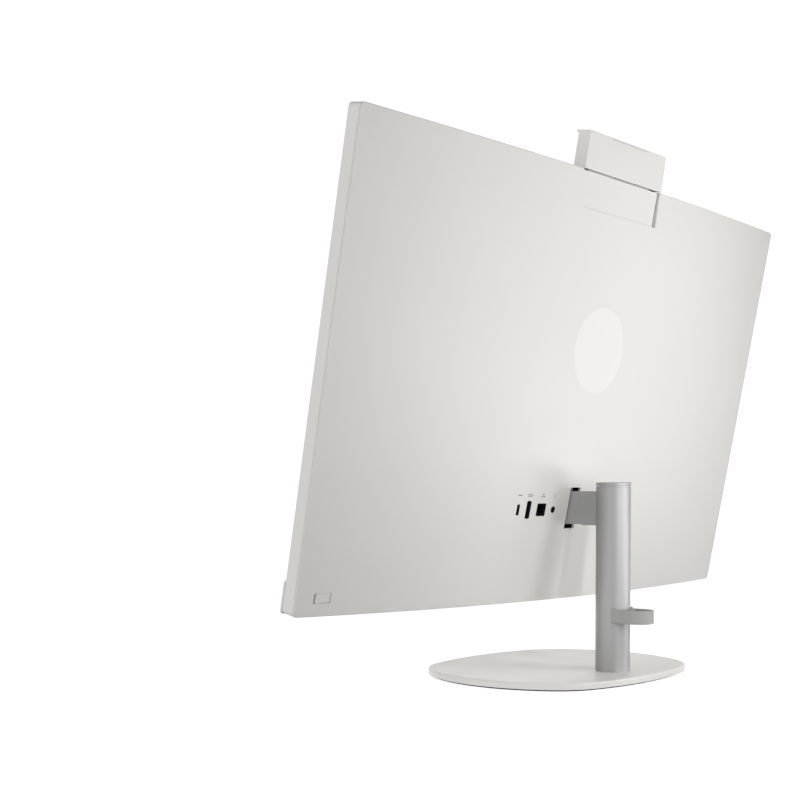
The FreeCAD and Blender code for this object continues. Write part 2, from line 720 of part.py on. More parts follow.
def make_rear_cover():
    outer = cover_block()
    inner = head_plate(COVER_WALL, COVER_Y - 1, FAR / 2).common(behind_front(-COVER_WALL))
    shell = outer.cut(inner)
    half = ARM_SLOT_W / 2
    arm_slot = rounded_plate(-half, half, PIVOT_Z - ARM_SLOT_H / 2, PIVOT_Z + ARM_SLOT_H / 2,
                             EDGE_DEPTH, FAR, SLOT_CORNER_R)
    shell = shell.cut(camera_recess_cut())
    pocket = [wall.common(outer) for wall in camera_pocket()]
    shell = fuse_all([shell] + pocket)
    emblem = rod_y(0, EMBLEM_Z, EMBLEM_R + EMBLEM_GAP, 0, FAR).cut(behind_front(-EMBLEM_T))
    button = box(BUTTON_X - BUTTON_W / 2 - BUTTON_GAP, BUTTON_X + BUTTON_W / 2 + BUTTON_SLIT,
                 0, FAR, BUTTON_Z - BUTTON_H / 2 - BUTTON_GAP, BUTTON_Z + BUTTON_H / 2 + BUTTON_GAP)
    for cutter in (arm_slot, port_cuts(), emblem, button, vent_cuts()):
        shell = shell.cut(cutter)
    return shell


def make_emblem_disc():
    """Plain inlaid disc, flush with the cover's curved face."""
    disc = rod_y(0, EMBLEM_Z, EMBLEM_R, 0, FAR).common(behind_front(0.0))
    return disc.cut(behind_front(-EMBLEM_T + EMBLEM_GAP))


# ---------------------------------------------------------------- head: sockets
def socket_mouth_y(x):
    return cover_depth(x, PORT_Z) - COVER_WALL - PORT_SETBACK


def socket_shell(x, width, height, tongue_w, tongue_h, tongue_back):
    """Metal-shelled socket standing on the board, open to the rear, with a tongue inside."""
    mouth = socket_mouth_y(x)
    half_w = width / 2
    half_h = height / 2
    floor_y = BOARD_REAR_Y + 3
    body = box(x - half_w - SHELL_T, x + half_w + SHELL_T, BOARD_REAR_Y, mouth,
               PORT_Z - half_h - SHELL_T, PORT_Z + half_h + SHELL_T)
    cavity = box(x - half_w, x + half_w, floor_y, mouth + 1, PORT_Z - half_h, PORT_Z + half_h)
    socket = body.cut(cavity)
    if tongue_w > 0:
        tongue = box(x - tongue_w / 2, x + tongue_w / 2, floor_y - 1, mouth - tongue_back,
                     PORT_Z - tongue_h / 2, PORT_Z + tongue_h / 2)
        socket = socket.fuse(tongue).removeSplitter()
    return socket


def round_socket(x, radius, pin_radius):
    mouth = socket_mouth_y(x)
    body = box(x - radius - 1.6, x + radius + 1.6, BOARD_REAR_Y, mouth,
               PORT_Z - radius - 1.6, PORT_Z + radius + 1.6)
    socket = body.cut(rod_y(x, PORT_Z, radius, BOARD_REAR_Y + 3, mouth + 1))
    if pin_radius > 0:
        pin = rod_y(x, PORT_Z, pin_radius, BOARD_REAR_Y + 2, mouth - 1.5)
        socket = socket.fuse(pin).removeSplitter()
    return socket


def make_network_socket():
    socket = socket_shell(NETWORK_X, 11.9, 8.2, 0, 0, 0)
    mouth = socket_mouth_y(NETWORK_X)
    half_h = 8.2 / 2
    latch = box(NETWORK_X - 3.2, NETWORK_X + 3.2, BOARD_REAR_Y + 5, mouth + 1,
                PORT_Z - half_h - 1.5, PORT_Z - half_h + 1)
    skin = box(NETWORK_X - 6.35, NETWORK_X + 6.35, BOARD_REAR_Y, mouth,
               PORT_Z - half_h - 2.2, PORT_Z - half_h - SHELL_T)
    return socket.fuse(skin).removeSplitter().cut(latch)


# ---------------------------------------------------------------- head: board and cooling
def make_mainboard():
    half = BOARD_W / 2
    board = box(-half, half, BOARD_Y, BOARD_REAR_Y, BOARD_Z0, BOARD_Z0 + BOARD_H)
    notch = box(-BRACKET_W / 2 - 2 + 12, BRACKET_W / 2 + 2 - 12, 0, FAR, 0, PIVOT_Z + BRACKET_H / 2 + 4)
    return board.cut(notch).cut(screw_holes(board_places(), 0, FAR))


def make_standoffs():
    solids = []
    for x, z in board_places():
        solids.append(ring_y(x, z, STANDOFF_R, SCREW_R + 0.05, BRACKET_Y, BOARD_Y))
    return group(solids)


def make_board_screws():
    return screws_y(board_places(), BOARD_REAR_Y, BOARD_T + STANDOFF_H - 0.3)


def make_cpu_plate():
    return box(CPU_X - 20, CPU_X + 20, BOARD_REAR_Y + 1.2, BOARD_REAR_Y + 3.2, CPU_Z - 20, CPU_Z + 20)


def make_cpu_package():
    return box(CPU_X - 14, CPU_X + 14, BOARD_REAR_Y, BOARD_REAR_Y + 1.2, CPU_Z - 11, CPU_Z + 11)


def pipe_height():
    return BOARD_REAR_Y + 3.2 + PIPE_R


def make_heat_pipe():
    """Copper pipe from the cold plate to the fins: straight runs joined by tangent arcs."""
    y = pipe_height()
    bend = 20.0
    turn_x = FAN_X + 55.0
    fin_z = FAN_Z + FAN_R + 16
    rise = fin_z - CPU_Z
    start = V(CPU_X + 18, y, CPU_Z)
    lean = math.atan2(rise, 60.0)
    cut_back = bend * math.tan(lean / 2)
    first = V(turn_x + 60.0, y, CPU_Z)
    second = V(turn_x, y, fin_z)
    along = V(-math.cos(lean), 0, math.sin(lean))
    a0 = first + V(cut_back, 0, 0)
    a1 = first + along * cut_back
    b0 = second - along * cut_back
    b1 = second - V(cut_back, 0, 0)
    mid_a = first + (V(1, 0, 0) + along).normalize() * bend * (1 / math.cos(lean / 2) - 1)
    mid_b = second + (along * -1 + V(-1, 0, 0)).normalize() * bend * (1 / math.cos(lean / 2) - 1)
    end = V(FAN_X - FAN_R + 4, y, fin_z)
    edges = [Part.LineSegment(start, a0).toShape(), Part.Arc(a0, mid_a, a1).toShape(),
             Part.LineSegment(a1, b0).toShape(), Part.Arc(b0, mid_b, b1).toShape(),
             Part.LineSegment(b1, end).toShape()]
    path = Part.Wire(edges)
    section = Part.Wire([Part.makeCircle(PIPE_R, start, V(1, 0, 0))])
    return path.makePipeShell([section], True, False)


def make_fin_stack():
    """Thin fins on a spine plate, bored for the heat pipe."""
    y = pipe_height()
    fin_z = FAN_Z + FAN_R + 16
    x0 = FAN_X - FAN_R
    pitch = 2 * FAN_R / (FIN_COUNT - 1)
    top = y + PIPE_R + 0.3
    solids = [box(x0, x0 + 2 * FAN_R, top, top + 0.5, fin_z - 9, fin_z + 9)]
    for k in range(FIN_COUNT):
        x = x0 + k * pitch
        solids.append(box(x - FIN_T / 2, x + FIN_T / 2, y - PIPE_R - 2, top + 0.2,
                          fin_z - 9, fin_z + 9))
    stack = fuse_all(solids)
    return stack.cut(rod_x(y, fin_z, PIPE_R + 0.05, x0 - 5, x0 + 2 * FAN_R + 5))


def fan_front_y():
    return BRACKET_Y + 1.5


def make_fan_housing():
    """Flat blower case: round well, an outlet towards the fins and four lugs."""
    y0 = BRACKET_Y
    y1 = fan_front_y() + FAN_T + 2.5
    wall_r = FAN_R + FAN_GAP + 1.5
    case = fuse_all([rod_y(FAN_X, FAN_Z, wall_r, y0, y1),
                     box(FAN_X - wall_r, FAN_X + wall_r, y0, y1, FAN_Z, FAN_Z + FAN_R + 6)])
    well = fuse_all([rod_y(FAN_X, FAN_Z, wall_r - 1.5, y0 + 1.2, y1 - 1.2),
                     box(FAN_X - wall_r + 1.5, FAN_X + wall_r - 1.5, y0 + 1.2, y1 - 1.2,
                         FAN_Z, FAN_Z + FAN_R + 7)])
    case = case.cut(well).cut(rod_y(FAN_X, FAN_Z, FAN_R - 8, y1 - 2, y1 + 1))
    lugs = []
    for x, z in fan_places():
        bridge = box(min(x, FAN_X), max(x, FAN_X), y0, y0 + 1.2, min(z, FAN_Z), max(z, FAN_Z))
        bridge = bridge.common(rod_y(x, z, 26.0, y0, y0 + 1.2))
        lugs.append(bridge.fuse(rod_y(x, z, 4.0, y0, y0 + 1.2)))
    case = fuse_all([case] + lugs)
    axle = rod_y(FAN_X, FAN_Z, FAN_AXLE_R, y0 + 0.5, y0 + 9.0)
    return case.cut(screw_holes(fan_places(), 0, FAR)).fuse(axle).removeSplitter()


def make_fan_impeller():
    """Hub, backing disc and swept blades that turn on the housing's axle."""
    y0 = fan_front_y() + 0.8
    hub = rod_y(FAN_X, FAN_Z, FAN_HUB_R, y0, y0 + FAN_T)
    disc = rod_y(FAN_X, FAN_Z, FAN_R - 4, y0, y0 + 1.0)
    solids = [hub, disc]
    for k in range(FAN_BLADES):
        blade = box(FAN_X + FAN_HUB_R + 4, FAN_X + FAN_R, y0, y0 + FAN_T - 1, FAN_Z - 0.5, FAN_Z + 0.5)
        blade.rotate(V(FAN_X + FAN_HUB_R + 4, 0, FAN_Z), V(0, 1, 0), 22)
        blade.rotate(V(FAN_X, 0, FAN_Z), V(0, 1, 0), 360.0 * k / FAN_BLADES)
        solids.append(blade)
    wheel = fuse_all(solids)
    return wheel.cut(rod_y(FAN_X, FAN_Z, FAN_AXLE_R + SHAFT_RUN_GAP, 0, y0 + FAN_T - 1.5))


def make_fan_screws():
    return screws_y(fan_places(), BRACKET_Y + 1.2, 1.2 - 0.05)


def memory_rows():
    return [MEMORY_Z + MEMORY_PITCH * k for k in range(2)]


def make_memory_modules():
    half = MEMORY_W / 2
    return group([box(MEMORY_X - half, MEMORY_X + half, BOARD_REAR_Y + CARD_LIFT,
                      BOARD_REAR_Y + CARD_LIFT + 1.2, z, z + MEMORY_H) for z in memory_rows()])


def edge_socket(x, width, thick, z0, z1, edge_z, opens_up):
    """Connector block on the board with a pocket for the edge of a card lying over the board."""
    half = width / 2
    block = box(x - half - 1, x + half + 1, BOARD_REAR_Y, BOARD_REAR_Y + CARD_LIFT + thick + 0.8,
                z0, z1)
    low, high = (edge_z, z1 + 1) if opens_up else (z0 - 1, edge_z)
    pocket = box(x - half - 0.1, x + half + 0.1, BOARD_REAR_Y + CARD_LIFT - 0.05,
                 BOARD_REAR_Y + CARD_LIFT + thick + 0.05, low, high)
    return block.cut(pocket)


def make_memory_sockets():
    return group([edge_socket(MEMORY_X, MEMORY_W, 1.2, z - 3, z + 4, z - 0.05, True)
                  for z in memory_rows()])


def card(z0, length, thick):
    return box(CARD_X - CARD_W / 2, CARD_X + CARD_W / 2, BOARD_REAR_Y + CARD_LIFT,
               BOARD_REAR_Y + CARD_LIFT + thick, z0, z0 + length)


def make_storage_drive():
    return card(DRIVE_Z0, DRIVE_L, DRIVE_T)


def make_wireless_card():
    return card(RADIO_Z0, RADIO_L, RADIO_T)


def make_card_sockets():
    """Edge connectors that hold the drive and the wireless card."""
    drive_end = DRIVE_Z0 + DRIVE_L
    radio_end = RADIO_Z0 + RADIO_L
    return group([
        edge_socket(CARD_X, CARD_W, DRIVE_T, drive_end - 1, drive_end + 4, drive_end + 0.05, False),
        edge_socket(CARD_X, CARD_W, RADIO_T, radio_end - 1, radio_end + 3.8, radio_end + 0.05, False)])


def make_coin_cell():
    return rod_y(CELL_X, CELL_Z, CELL_R, BOARD_REAR_Y + 0.5, BOARD_REAR_Y + 3.7)


def make_speakers():
    """A sealed enclosure each side, just above the bottom edge."""
    half_w = SPEAKER_W / 2
    half_h = SPEAKER_H / 2
    solids = []
    for x in (-SPEAKER_X, SPEAKER_X):
        case = rounded_plate(x - half_w, x + half_w, SPEAKER_Z - half_h, SPEAKER_Z + half_h,
                             BRACKET_Y, BRACKET_Y + SPEAKER_T, 4.0)
        well = rod_y(x + CONE_OFFSET, SPEAKER_Z, CONE_R + 1, BRACKET_Y + 2, BRACKET_Y + SPEAKER_T + 1)
        solids.append(case.cut(well))
    return group(solids)


def make_speaker_cones():
    solids = []
    for side in (-SPEAKER_X, SPEAKER_X):
        x = side + CONE_OFFSET
        cone = Part.makeCone(CONE_R, 5.0, 3.0, V(x, BRACKET_Y + 6, SPEAKER_Z), V(0, -1, 0))
        hollow = Part.makeCone(CONE_R - 0.8, 4.2, 3.0, V(x, BRACKET_Y + 6.6, SPEAKER_Z), V(0, -1, 0))
        rim = ring_y(x, SPEAKER_Z, CONE_R + 0.9, CONE_R - 1, BRACKET_Y + 5.4, BRACKET_Y + 6.4)
        magnet = rod_y(x, SPEAKER_Z, 6.0, BRACKET_Y + 2, BRACKET_Y + 4)
        solids.append(fuse_all([cone.cut(hollow), rim, magnet]))
    return group(solids)


def make_antennas():
    half = ANTENNA_W / 2
    high = HEAD_H - ANTENNA_DROP
    return group([box(x - half, x + half, BRACKET_Y, BRACKET_Y + 1.0, high - ANTENNA_H, high)
                  for x in (-ANTENNA_X, ANTENNA_X)])


# ---------------------------------------------------------------- head: power button
def button_face_y():
    return cover_depth(BUTTON_X, BUTTON_Z) + BUTTON_PROUD


def make_power_button():
    face = button_face_y()
    half_w = BUTTON_W / 2
    half_h = BUTTON_H / 2
    cap = rounded_plate(BUTTON_X - half_w, BUTTON_X + half_w, BUTTON_Z - half_h, BUTTON_Z + half_h,
                        face - BUTTON_T, face, 0.8)
    front = [e for e in cap.Edges if e.BoundBox.YMin > face - 1e-6]
    cap = cap.makeFillet(0.3, front)
    stem = rod_y(BUTTON_X, BUTTON_Z, 1.5, BRACKET_Y + 3.6, face - BUTTON_T + 0.5)
    return cap.fuse(stem).removeSplitter()


def make_button_board():
    return box(BUTTON_X - 12, BUTTON_X + 12, BRACKET_Y, BRACKET_Y + 1.0, BUTTON_Z - 6, BUTTON_Z + 6)


def make_button_switch():
    return box(BUTTON_X - 3, BUTTON_X + 3, BRACKET_Y + 1.0, BRACKET_Y + 2.4,
               BUTTON_Z - 3, BUTTON_Z + 3)


# ---------------------------------------------------------------- pop-up camera
def camera_skin():
    """Region in front of the block's rear face, which matches the cover when closed."""
    return behind_front(0.0, CAM_TRAVEL)


def make_camera_rear_shell():
    """Rear plate with two side walls that straddle the recess floor."""
    half = CAM_W / 2
    top = HEAD_H + CAM_TRAVEL - CAM_CAP_T
    low = HEAD_H + CAM_RAISE
    rear = box(-half, half, CAM_FLOOR_Y + CAM_GAP, FAR / 2, low, top)
    left = box(-half, -half + CAM_WALL, CAM_FRONT_Y, FAR / 2, low, top)
    right = box(half - CAM_WALL, half, CAM_FRONT_Y, FAR / 2, low, top)
    return fuse_all([rear, left, right]).common(camera_skin())


def make_camera_front_shell():
    half = CAM_W / 2 - CAM_WALL - 0.05
    top = HEAD_H + CAM_TRAVEL - CAM_CAP_T
    front = box(-half, half, CAM_FRONT_Y, CAM_FRONT_Y + 1.5, HEAD_H, top)
    lens_z = HEAD_H + CAM_TRAVEL / 2
    holes = [rod_y(0, lens_z, 5.0, 0, FAR)]
    for x in (-14.0, 14.0):
        holes.append(rod_y(x, lens_z, 1.6, 0, FAR))
    for x in (-40.0, 40.0):
        holes.append(rod_y(x, lens_z, 0.6, 0, FAR))
    return front.cut(group(holes))


def make_camera_top_cap():
    """Lid of the block: a lip in front, a finger notch behind, relieved over the recess floor."""
    half = CAM_W / 2
    top = HEAD_H + CAM_TRAVEL
    cap = box(-half, half, CAM_FRONT_Y - CAM_LIP, FAR / 2, top - CAM_CAP_T, top)
    cap = cap.common(camera_skin())
    rim = [e for e in cap.Edges if e.BoundBox.ZMin > top - 1e-3 and e.BoundBox.YMin > CAM_FLOOR_Y]
    cap = cap.makeFillet(RIM_ROUND, rim)
    notch = CAM_NOTCH_W / 2
    scoop = box(-notch, notch, 0, CAM_NOTCH_R, -CAM_NOTCH_R, CAM_NOTCH_R)
    scoop.rotate(V(0, 0, 0), V(1, 0, 0), CAM_NOTCH_TILT)
    scoop.translate(V(0, cover_depth(0, HEAD_H - CAM_NOTCH_H), top - CAM_NOTCH_H))
    clear = CAM_FLOOR_HALF + CAM_GAP
    relief = box(-clear, clear, CAM_RECESS_Y - CAM_GAP, CAM_FLOOR_Y + CAM_GAP,
                 top - CAM_CAP_T - 1, top - CAM_CAP_SKIN)
    return cap.cut(scoop).cut(relief)


def make_camera_frame():
    """Inner carriage: holds the camera board and runs in the guide rails below."""
    half = CAM_TONGUE_W / 2
    rear = CAM_RECESS_Y - CAM_GAP
    top = HEAD_H + CAM_TRAVEL - CAM_CAP_T
    return box(-half, half, rear - CAM_TONGUE_T, rear, HEAD_H - CAM_TONGUE_H, top)


def make_camera_board():
    rear = CAM_RECESS_Y - CAM_GAP - CAM_TONGUE_T
    mid = HEAD_H + CAM_TRAVEL / 2
    return box(-45, 45, rear - 1.0, rear, mid - 6, mid + 6)


def make_camera_module():
    """Lens barrel on its small square sensor housing."""
    mid = HEAD_H + CAM_TRAVEL / 2
    rear = CAM_RECESS_Y - CAM_GAP - CAM_TONGUE_T - 1.0
    housing = box(-4.2, 4.2, rear - 1.2, rear, mid - 4.2, mid + 4.2)
    barrel = rod_y(0, mid, 3.4, CAM_FRONT_Y + 1.0, rear - 1.2)
    return housing.fuse(barrel).removeSplitter()


def make_camera_window():
    mid = HEAD_H + CAM_TRAVEL / 2
    return rod_y(0, mid, 4.9, CAM_FRONT_Y + 0.1, CAM_FRONT_Y + 0.9)


def make_camera_guide():
    """A pair of channels fixed inside the head, one for each edge of the carriage."""
    rear = CAM_RECESS_Y - CAM_GAP
    half = CAM_TONGUE_W / 2
    low = HEAD_H - CAM_TONGUE_H - CAM_TRAVEL - 4
    high = HEAD_H - CAM_TRAVEL - 6
    solids = []
    for side in (-1, 1):
        x0, x1 = sorted((side * (half - 3), side * (half + CAM_RAIL_W)))
        rail = box(x0, x1, BRACKET_Y, rear + 1.6, low, high)
        groove_half = half + CAM_GAP
        groove = box(-groove_half, groove_half, rear - CAM_TONGUE_T - CAM_GAP, rear + CAM_GAP,
                     low + 3, high + 1)
        solids.append(rail.cut(groove))
    return group(solids)


STAND_NODES = {
    "base_plate": make_base_plate,
    "base_feet": make_base_feet,
    "column_tube": make_column_tube,
    "column_cap": make_column_cap,
    "column_core": make_column_core,
    "column_pins": make_column_pins,
    "column_bolt": make_column_bolt,
    "hinge_arm": make_hinge_arm,
    "arm_sleeve": make_arm_sleeve,
    "cable_ring": make_cable_ring,
}

HEAD_NODES = {
    "front_frame": make_front_frame,
    "chin_cover": make_chin_cover,
    "display_panel": make_display_panel,
    "backlight_module": make_backlight,
    "chassis_plate": make_chassis_plate,
    "chassis_screws": make_chassis_screws,
    "hinge_bracket": make_hinge_bracket,
    "hinge_shaft": make_hinge_shaft,
    "friction_washers": make_friction_washers,
    "hinge_nut": make_hinge_nut,
    "hinge_screws": make_hinge_screws,
    "rear_cover": make_rear_cover,
    "emblem_disc": make_emblem_disc,
    "usb_c_socket": lambda: socket_shell(USB_C_X, 3.2, 9.0, 0.7, 6.6, 0.8),
    "video_socket": lambda: socket_shell(VIDEO_X, 5.5, 15.0, 1.8, 11.6, 1.2),
    "network_socket": make_network_socket,
    "dc_inlet": lambda: round_socket(DC_X, 2.7, 0.5),
    "usb_a_sockets": lambda: group([socket_shell(x, 5.2, 13.2, 1.9, 10.8, 1.2) for x in USB_A_X]),
    "audio_socket": lambda: round_socket(AUDIO_X, 1.8, 0),
    "mainboard": make_mainboard,
    "board_standoffs": make_standoffs,
    "board_screws": make_board_screws,
    "cpu_package": make_cpu_package,
    "cpu_cold_plate": make_cpu_plate,
    "heat_pipe": make_heat_pipe,
    "fin_stack": make_fin_stack,
    "fan_housing": make_fan_housing,
    "fan_impeller": make_fan_impeller,
    "fan_screws": make_fan_screws,
    "memory_sockets": make_memory_sockets,
    "memory_modules": make_memory_modules,
    "storage_drive": make_storage_drive,
    "wireless_card": make_wireless_card,
    "card_sockets": make_card_sockets,
    "coin_cell": make_coin_cell,
    "speaker_boxes": make_speakers,
    "speaker_drivers": make_speaker_cones,
    "antennas": make_antennas,
    "power_button": make_power_button,
    "button_board": make_button_board,
    "button_switch": make_button_switch,
    "camera_rear_shell": make_camera_rear_shell,
    "camera_front_shell": make_camera_front_shell,
    "camera_top_cap": make_camera_top_cap,
    "camera_carriage": make_camera_frame,
    "camera_board": make_camera_board,
    "camera_module": make_camera_module,
    "camera_window": make_camera_window,
    "camera_guide": make_camera_guide,
}


def main():
    os.makedirs("parts", exist_ok=True)
    for name, make in STAND_NODES.items():
        export(name, make())
    for name, make in HEAD_NODES.items():
        export(name, place_head(make()))


main()
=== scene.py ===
"""Looks, light and camera for the all-in-one computer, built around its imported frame."""
import json
import math
import bmesh
import bpy
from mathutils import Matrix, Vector


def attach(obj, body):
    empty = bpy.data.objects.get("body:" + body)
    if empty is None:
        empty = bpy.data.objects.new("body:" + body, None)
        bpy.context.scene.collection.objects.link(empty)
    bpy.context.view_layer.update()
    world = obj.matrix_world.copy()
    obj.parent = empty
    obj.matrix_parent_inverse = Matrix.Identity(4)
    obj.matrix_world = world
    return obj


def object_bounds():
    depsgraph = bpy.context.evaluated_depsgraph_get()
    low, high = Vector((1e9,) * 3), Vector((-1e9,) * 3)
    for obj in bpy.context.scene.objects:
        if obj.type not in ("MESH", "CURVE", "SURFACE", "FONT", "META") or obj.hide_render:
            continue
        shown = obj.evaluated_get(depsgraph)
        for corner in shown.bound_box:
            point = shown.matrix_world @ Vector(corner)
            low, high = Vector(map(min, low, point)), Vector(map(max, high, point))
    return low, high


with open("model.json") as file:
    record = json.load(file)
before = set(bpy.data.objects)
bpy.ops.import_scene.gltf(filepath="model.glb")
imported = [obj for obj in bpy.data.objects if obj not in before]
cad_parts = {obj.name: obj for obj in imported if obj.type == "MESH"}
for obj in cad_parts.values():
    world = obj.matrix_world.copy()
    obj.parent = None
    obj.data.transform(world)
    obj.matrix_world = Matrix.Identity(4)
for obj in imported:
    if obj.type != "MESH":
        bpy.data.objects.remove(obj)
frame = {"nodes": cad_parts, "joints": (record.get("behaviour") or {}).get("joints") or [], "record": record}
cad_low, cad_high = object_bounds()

MM = 0.001
NODES = frame["nodes"]
JOINTS = {joint["name"]: joint for joint in frame["joints"]}

# Head sizes, millimetres, as in the CAD
HEAD_W = 613.0
HEAD_H = 370.0
EDGE_DEPTH = 13.0
CROWN = 16.5
BULGE = 3.8
PORT_Z = 83.2
COVER_WALL = 2.2
PORT_MARGIN = 0.35
USB_A_X = (-30.0, -44.0, -58.0, -72.0)

HEAD_UP = Vector(JOINTS["camera_slide"]["axis"]).normalized()
HEAD_BACK = Vector((0.0, HEAD_UP.z, -HEAD_UP.y))


def extent(node, axis):
    """Lowest and highest place of a CAD node along an axis, in metres."""
    along = [v.co.dot(axis) for v in NODES[node].data.vertices]
    return min(along), max(along)


HEAD_FRONT = extent("front_frame", HEAD_BACK)[0]
HEAD_BOTTOM = extent("front_frame", HEAD_UP)[0]


def head_point(x, y, z):
    """Row-frame place in metres of a point in the head: x across, y back, z up, millimetres."""
    flat = HEAD_BACK * (HEAD_FRONT + y * MM) + HEAD_UP * (HEAD_BOTTOM + z * MM)
    return Vector((x * MM, 0.0, 0.0)) + flat


def cover_depth(x, z):
    """Depth of the rear cover's outer face behind the head's front face, millimetres."""
    across = 1.0 - (2.0 * x / HEAD_W) ** 2
    up = z / HEAD_H
    return EDGE_DEPTH + across * (CROWN + BULGE * 4.0 * up * (1.0 - up))


# ---------------------------------------------------------------- materials
# Noise values lie mostly between these two, and its changes are spread over them
NOISE_LOW = 0.3
NOISE_HIGH = 0.7
MOTTLE_SCALE = 9.0
GLOSS_SCALE = 45.0
GRAIN_STRENGTH = 0.35
COAT_ROUGHNESS = 0.12


def link(tree, source, output, target, entry):
    tree.links.new(source.outputs[output], target.inputs[entry])


def noise(tree, where, scale, detail, stretch=None):
    """Noise in the object's own space, stretched along an axis if asked."""
    node = tree.nodes.new("ShaderNodeTexNoise")
    node.inputs["Scale"].default_value = scale
    node.inputs["Detail"].default_value = detail
    if stretch is None:
        link(tree, where, "Object", node, "Vector")
    else:
        mapping = tree.nodes.new("ShaderNodeMapping")
        mapping.inputs["Scale"].default_value = stretch
        link(tree, where, "Object", mapping, "Vector")
        link(tree, mapping, "Vector", node, "Vector")
    return node


def remap(tree, source, output, low, high):
    """Spread a noise over the values from low to high."""
    node = tree.nodes.new("ShaderNodeMapRange")
    node.inputs["From Min"].default_value = NOISE_LOW
    node.inputs["From Max"].default_value = NOISE_HIGH
    node.inputs["To Min"].default_value = low
    node.inputs["To Max"].default_value = high
    link(tree, source, output, node, "Value")
    return node


def finish_material(name, color, rough, grain, depth, metal=0.0, mottle=0.02, rough_span=0.05,
                    stretch=None, coat=0.0, specular=0.5, see_through=0.0):
    """Base colour with slow variation, uneven gloss and a fine surface grain, all from noise."""
    mat = bpy.data.materials.new(name)
    mat.use_nodes = True
    tree = mat.node_tree
    shader = tree.nodes["Principled BSDF"]
    where = tree.nodes.new("ShaderNodeTexCoord")
    slow = noise(tree, where, MOTTLE_SCALE, 3.0)
    ramp = tree.nodes.new("ShaderNodeValToRGB")
    ramp.color_ramp.elements[0].position = NOISE_LOW
    ramp.color_ramp.elements[1].position = NOISE_HIGH
    ramp.color_ramp.elements[0].color = [c * (1.0 - mottle) for c in color] + [1.0]
    ramp.color_ramp.elements[1].color = [min(1.0, c * (1.0 + mottle)) for c in color] + [1.0]
    link(tree, slow, "Fac", ramp, "Fac")
    link(tree, ramp, "Color", shader, "Base Color")
    gloss = noise(tree, where, GLOSS_SCALE, 4.0, stretch)
    spread = remap(tree, gloss, "Fac", rough - rough_span, rough + rough_span)
    link(tree, spread, "Result", shader, "Roughness")
    fine = noise(tree, where, grain, 2.0, stretch)
    bump = tree.nodes.new("ShaderNodeBump")
    bump.inputs["Strength"].default_value = GRAIN_STRENGTH
    bump.inputs["Distance"].default_value = depth
    link(tree, fine, "Fac", bump, "Height")
    link(tree, bump, "Normal", shader, "Normal")
    shader.inputs["Metallic"].default_value = metal
    shader.inputs["Specular IOR Level"].default_value = specular
    shader.inputs["Coat Weight"].default_value = coat
    shader.inputs["Coat Roughness"].default_value = COAT_ROUGHNESS
    shader.inputs["Transmission Weight"].default_value = see_through
    return mat


# Grain drawn out along the column
DRAWN = (1.0, 1.0, 0.03)
LOOKS = {
    "cover_white": finish_material("cover_plastic", (0.735, 0.725, 0.695), 0.46, 2600.0, 2e-5, mottle=0.008),
    "base_white": finish_material("base_paint", (0.735, 0.725, 0.69), 0.42, 1900.0, 3e-5, mottle=0.01),
    "satin_aluminium": finish_material("column_aluminium", (0.425, 0.425, 0.425), 0.55, 2400.0, 2e-5,
                                       metal=1.0, mottle=0.015, stretch=DRAWN),
    "arm_grey": finish_material("arm_paint", (0.325, 0.327, 0.325), 0.5, 2100.0, 3e-5),
    "ring_grey": finish_material("ring_plastic", (0.34, 0.34, 0.336), 0.5, 2300.0, 2e-5),
    "rubber_black": finish_material("foot_rubber", (0.022, 0.022, 0.022), 0.8, 1500.0, 6e-5),
    "plain_steel": finish_material("zinc_steel", (0.50, 0.50, 0.49), 0.36, 1700.0, 3e-5, metal=1.0,
                                   mottle=0.06),
    "screen_glass": finish_material("border_glass", (0.012, 0.012, 0.013), 0.12, 1200.0, 4e-6,
                                    rough_span=0.02, coat=0.3),
    "backlight_plastic": finish_material("backlight_tray", (0.7, 0.7, 0.7), 0.6, 1800.0, 3e-5),
    "emblem_white": finish_material("emblem_gloss", (0.785, 0.777, 0.75), 0.42, 2600.0, 1e-5, mottle=0.005),
    # Socket shells: nickel coloured near black, a painted shade standing in for the shells lying in shadow
    # inside their openings
    "connector_metal": finish_material("connector_shell_painted_shade", (0.03, 0.03, 0.03), 0.6, 2500.0, 2e-5,
                                       metal=1.0, mottle=0.08),
    "port_black": finish_material("moulded_black", (0.012, 0.012, 0.012), 0.55, 2200.0, 3e-5),
    "board_green": finish_material("solder_mask", (0.02, 0.09, 0.06), 0.35, 900.0, 3e-5, mottle=0.2,
                                   coat=0.3),
    "chip_black": finish_material("moulded_resin", (0.02, 0.02, 0.022), 0.5, 2600.0, 3e-5),
    "copper": finish_material("bare_copper", (0.70, 0.38, 0.25), 0.3, 1500.0, 2e-5, metal=1.0, mottle=0.1),
    "fin_aluminium": finish_material("bare_aluminium", (0.75, 0.75, 0.75), 0.32, 1800.0, 2e-5, metal=1.0,
                                     mottle=0.03),
    "lens_glass": finish_material("coated_glass", (0.02, 0.02, 0.03), 0.05, 900.0, 2e-6, rough_span=0.01,
                                  coat=1.0, see_through=0.7),
}
ACTIVE_AREA = finish_material("antiglare_film", (0.017, 0.018, 0.020), 0.33, 3300.0, 1e-5, rough_span=0.03)
MARK_INK = finish_material("grey_ink", (0.13, 0.13, 0.125), 0.6, 2600.0, 5e-6)

for part in frame["record"]["subparts"]:
    NODES[part["node"]].material_slots[0].material = LOOKS[part["material_slot"]]


# ---------------------------------------------------------------- new pieces
SMOOTH_ANGLE = math.radians(35.0)


def add_mesh(name, bm, mat):
    """A new piece on the head, smooth but for its sharp edges."""
    bmesh.ops.recalc_face_normals(bm, faces=bm.faces)
    mesh = bpy.data.meshes.new(name)
    bm.to_mesh(mesh)
    bm.free()
    mesh.materials.append(mat)
    obj = bpy.data.objects.new(name, mesh)
    bpy.context.scene.collection.objects.link(obj)
    for poly in mesh.polygons:
        poly.use_smooth = True
    mesh.set_sharp_from_angle(angle=SMOOTH_ANGLE)
    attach(obj, "head")


